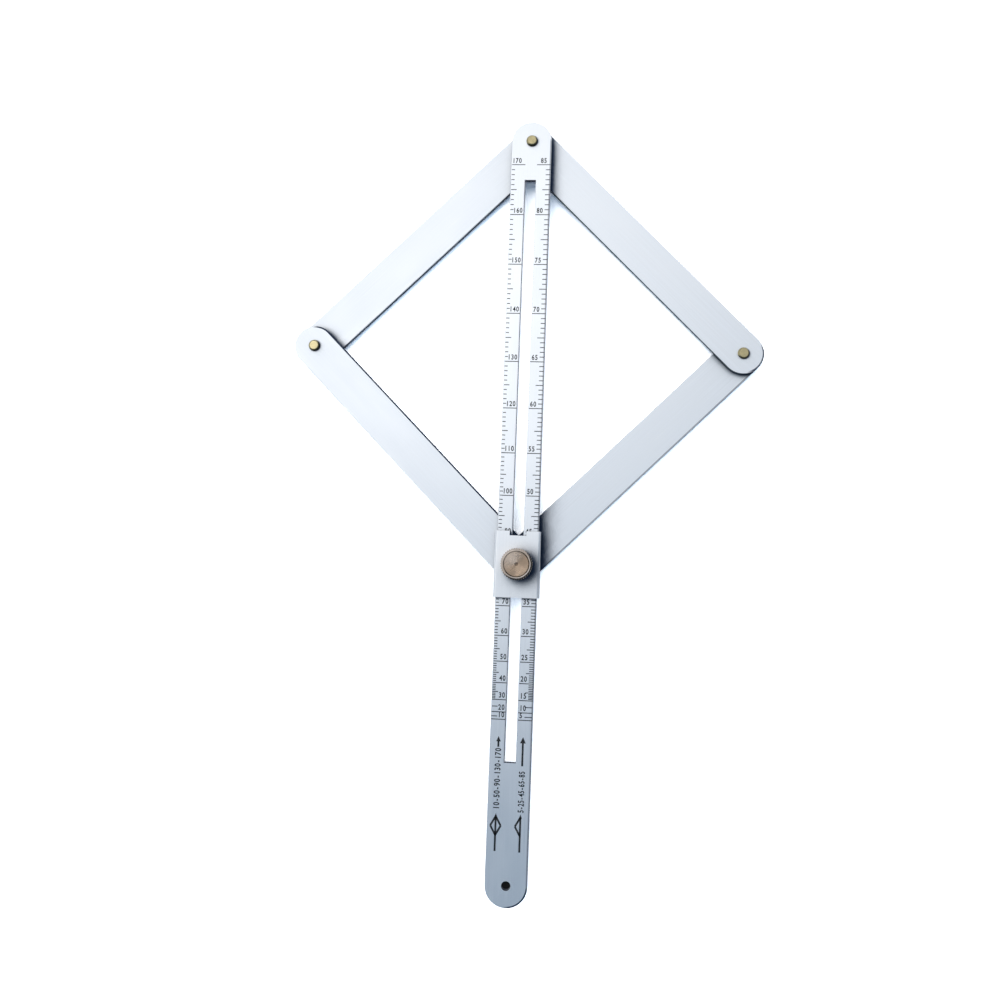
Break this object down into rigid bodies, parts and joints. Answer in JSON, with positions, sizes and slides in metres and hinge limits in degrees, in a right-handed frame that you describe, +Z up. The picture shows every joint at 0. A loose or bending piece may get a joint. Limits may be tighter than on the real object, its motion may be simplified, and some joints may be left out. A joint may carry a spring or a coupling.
{
  "type": "angle ruler",
  "caption": "Folding angle ruler: a slotted rule with linked arms, and a slider clamped by a knurled knob that reads the angle between the upper arms.",
  "frame": {"origin": "middle of the object's bounding box in plan, at the lowest point it rests on", "axes": "+Z up through the stack from the rear to the knob, +Y along the ruler towards the pivot where the upper arms meet, +X to the reader's right"},
  "size_m": [0.1856, 0.3044, 0.0154],
  "materials": {
    "strip": "satin anodised",
    "sheet": "satin anodised sheet",
    "knob": "turned and knurled",
    "screw": "turned",
    "rivet": "polished",
    "nylon": "moulded"
  },
  "bodies": {
    "ruler": {"ruler": "strip", "top_rivet": "rivet", "top_upper_friction_washer": "nylon", "top_lower_friction_washer": "nylon", "top_burr_washer": "rivet"},
    "upper_left": {"upper_left_arm": "strip", "left_rivet": "rivet", "left_friction_washer": "nylon", "left_burr_washer": "rivet"},
    "upper_right": {"upper_right_arm": "strip", "right_rivet": "rivet", "right_friction_washer": "nylon", "right_burr_washer": "rivet"},
    "lower_left": {"lower_left_arm": "strip"},
    "lower_right": {"lower_right_arm": "strip"},
    "slider": {"slider": "sheet", "clamp_screw": "screw", "clamp_upper_friction_washer": "nylon", "clamp_lower_friction_washer": "nylon"},
    "knob_washer": {"knob_washer": "knob"},
    "knob": {"knob": "knob"}
  },
  "joints": [
    {"name": "upper_left_pivot", "type": "hinge", "parent": "ruler", "child": "upper_left", "pos_m": [0, 0.14425, 0.00135], "axis": [0, 0, 1], "range_deg": [-40, 40]},
    {"name": "upper_right_pivot", "type": "hinge", "parent": "ruler", "child": "upper_right", "pos_m": [0, 0.14425, 0.00365], "axis": [0, 0, 1], "range_deg": [-40, 40]},
    {"name": "lower_left_pivot", "type": "hinge", "parent": "upper_left", "child": "lower_left", "pos_m": [-0.08485, 0.0594, 0.00365], "axis": [0, 0, 1], "range_deg": [-80, 80]},
    {"name": "lower_right_pivot", "type": "hinge", "parent": "upper_right", "child": "lower_right", "pos_m": [0.08485, 0.0594, 0.00135], "axis": [0, 0, 1], "range_deg": [-80, 80]},
    {"name": "slider_pivot", "type": "hinge", "parent": "lower_left", "child": "slider", "pos_m": [0, -0.02546, 0.00365], "axis": [0, 0, 1], "range_deg": [-40, 40]},
    {"name": "washer_lift", "type": "slide", "parent": "slider", "child": "knob_washer", "axis": [0, 0, 1], "range_m": [0, 0.0007]},
    {"name": "knob_turn", "type": "hinge", "parent": "knob_washer", "child": "knob", "pos_m": [0, -0.02546, 0.00795], "axis": [0, 0, 1], "range_deg": [0, 360]}
  ],
  "couplings": [
    {"joint": "upper_right_pivot", "follows": "upper_left_pivot", "ratio": -1},
    {"joint": "lower_left_pivot", "follows": "upper_left_pivot", "ratio": -2},
    {"joint": "lower_right_pivot", "follows": "upper_left_pivot", "ratio": 2},
    {"joint": "slider_pivot", "follows": "upper_left_pivot", "ratio": 1},
    {"joint": "knob_turn", "follows": "washer_lift", "rad_per_m": 8976}
  ]
}
